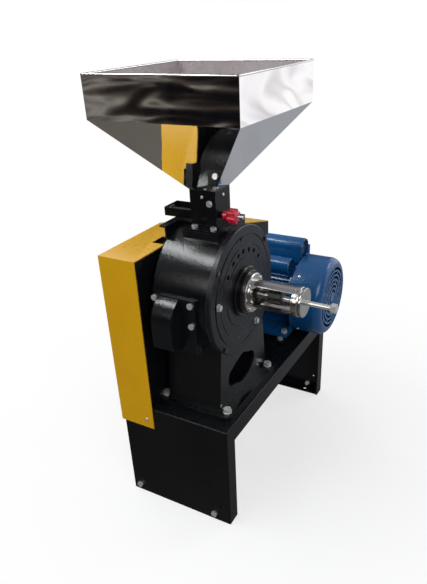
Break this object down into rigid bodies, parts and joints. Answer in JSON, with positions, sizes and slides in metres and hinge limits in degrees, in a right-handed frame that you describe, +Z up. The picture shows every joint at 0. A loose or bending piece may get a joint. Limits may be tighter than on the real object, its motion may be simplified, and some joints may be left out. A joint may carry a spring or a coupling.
{
  "type": "hammer mill",
  "caption": "Bench-mounted grain mill: square polished hopper over a drum casing with axial adjusting nose, belt drive under a guard and an electric motor.",
  "frame": {"origin": "centre of the bounding box in plan, at floor level", "axes": "+X along the bench from the mill end to the motor end, +Y towards the belt guard (the adjusting nose points to -Y), +Z up"},
  "size_m": [0.7, 0.4966, 1.054],
  "materials": {
    "black_powder_coat": "semi-gloss black powder coat",
    "casting_black": "gloss black enamel on rough casting",
    "cover_satin": "satin black enamel on turned casting",
    "guard_yellow": "gloss golden yellow enamel",
    "motor_blue": "gloss blue enamel",
    "polished_stainless": "mirror-polished stainless steel sheet",
    "turned_stainless": "turned stainless steel",
    "zinc_steel": "bright zinc-plated steel",
    "shaft_steel": "ground steel",
    "black_oxide": "black oxide steel",
    "black_paint_fastener": "painted black with the casting",
    "grinding_iron": "chilled cast iron",
    "grey_iron": "machined grey iron",
    "bronze": "sintered bronze",
    "belt_rubber": "fabric-faced rubber",
    "knob_red": "gloss crimson plastic",
    "bearing_steel": "ground bearing steel",
    "lamination": "steel laminations",
    "copper_winding": "varnished copper winding",
    "capacitor_can": "moulded capacitor can",
    "fan_plastic": "moulded black fan",
    "gland_plastic": "moulded black gland"
  },
  "bodies": {
    "machine": {"bench_top": "black_powder_coat", "leg_mill_end": "black_powder_coat", "leg_motor_end": "black_powder_coat", "leg_bolts": "zinc_steel", "casing_drum": "casting_black", "eye_insert": "grey_iron", "casing_foot": "casting_black", "foot_bolts": "zinc_steel", "front_cover": "cover_satin", "cover_bolts": "black_paint_fastener", "mill_bushes": "bronze", "casing_bolts": "zinc_steel", "motor_capacitors": "capacitor_can", "clamp_bolts": "zinc_steel", "rear_bearing_housing": "casting_black", "casing_bracket": "black_powder_coat", "adjuster_barrel": "turned_stainless", "barrel_screws": "zinc_steel", "adjuster_end_cap": "turned_stainless", "fixed_ring": "grinding_iron", "feed_chute": "casting_black", "side_hood": "casting_black", "throat_box": "black_powder_coat", "throat_bolts": "zinc_steel", "gate_guide": "black_powder_coat", "hopper": "polished_stainless", "v_belts": "belt_rubber", "belt_guard": "guard_yellow", "guard_screws": "zinc_steel", "guard_back_plate": "black_powder_coat", "guard_spacers": "black_powder_coat", "motor_frame": "motor_blue", "motor_rails": "black_powder_coat", "motor_bolts": "zinc_steel", "drive_end_shield": "motor_blue", "fan_end_shield": "motor_blue", "motor_bearings": "bearing_steel", "motor_stator": "lamination", "stator_windings": "copper_winding", "fan_cover": "motor_blue", "capacitor_cover_top": "motor_blue", "capacitor_cover_side": "motor_blue", "terminal_box": "motor_blue", "cable_gland": "gland_plastic"},
    "thrust_carrier": {"thrust_collar": "black_oxide"},
    "feed_screw": {"adjusting_screw": "zinc_steel"},
    "mill_rotor": {"mill_shaft": "shaft_steel", "shaft_key": "shaft_steel", "running_disc_carrier": "grey_iron", "running_ring": "grinding_iron", "feed_auger": "grey_iron"},
    "driven_pulley": {"mill_pulley": "grey_iron"},
    "motor_rotor": {"motor_shaft": "shaft_steel", "motor_rotor_core": "lamination", "cooling_fan": "fan_plastic", "motor_pulley": "grey_iron"},
    "gate_slider": {"gate_plate": "black_oxide"},
    "gate_spindle": {"gate_rod": "zinc_steel", "gate_knob": "knob_red"}
  },
  "joints": [
    {"name": "grinding_gap", "type": "slide", "parent": "machine", "child": "thrust_carrier", "axis": [0, 1, 0], "range_m": [0, 0.004]},
    {"name": "feed_screw_turn", "type": "hinge", "parent": "thrust_carrier", "child": "feed_screw", "pos_m": [-0.153, -0.1813, 0.576], "axis": [0, 1, 0], "range_deg": [0, 823]},
    {"name": "mill_spin", "type": "hinge", "parent": "thrust_carrier", "child": "mill_rotor", "pos_m": [-0.153, -0.0013, 0.576], "axis": [0, 1, 0], "continuous": true},
    {"name": "driven_pulley_spin", "type": "hinge", "parent": "machine", "child": "driven_pulley", "pos_m": [-0.153, 0.1887, 0.576], "axis": [0, 1, 0], "continuous": true},
    {"name": "motor_spin", "type": "hinge", "parent": "machine", "child": "motor_rotor", "pos_m": [0.224, 0.0387, 0.41], "axis": [0, 1, 0], "continuous": true},
    {"name": "gate_travel", "type": "slide", "parent": "machine", "child": "gate_slider", "axis": [0, -1, 0], "range_m": [0, 0.056]},
    {"name": "gate_knob_turn", "type": "hinge", "parent": "machine", "child": "gate_spindle", "pos_m": [-0.166, -0.0013, 0.757], "axis": [0, 1, 0], "range_deg": [0, 2521]}
  ],
  "couplings": [
    {"joint": "feed_screw_turn", "follows": "grinding_gap", "rad_per_m": 3590.4},
    {"joint": "driven_pulley_spin", "follows": "mill_spin", "ratio": 1},
    {"joint": "motor_spin", "follows": "mill_spin", "ratio": 2.5676},
    {"joint": "gate_knob_turn", "follows": "gate_travel", "rad_per_m": 785.4}
  ]
}
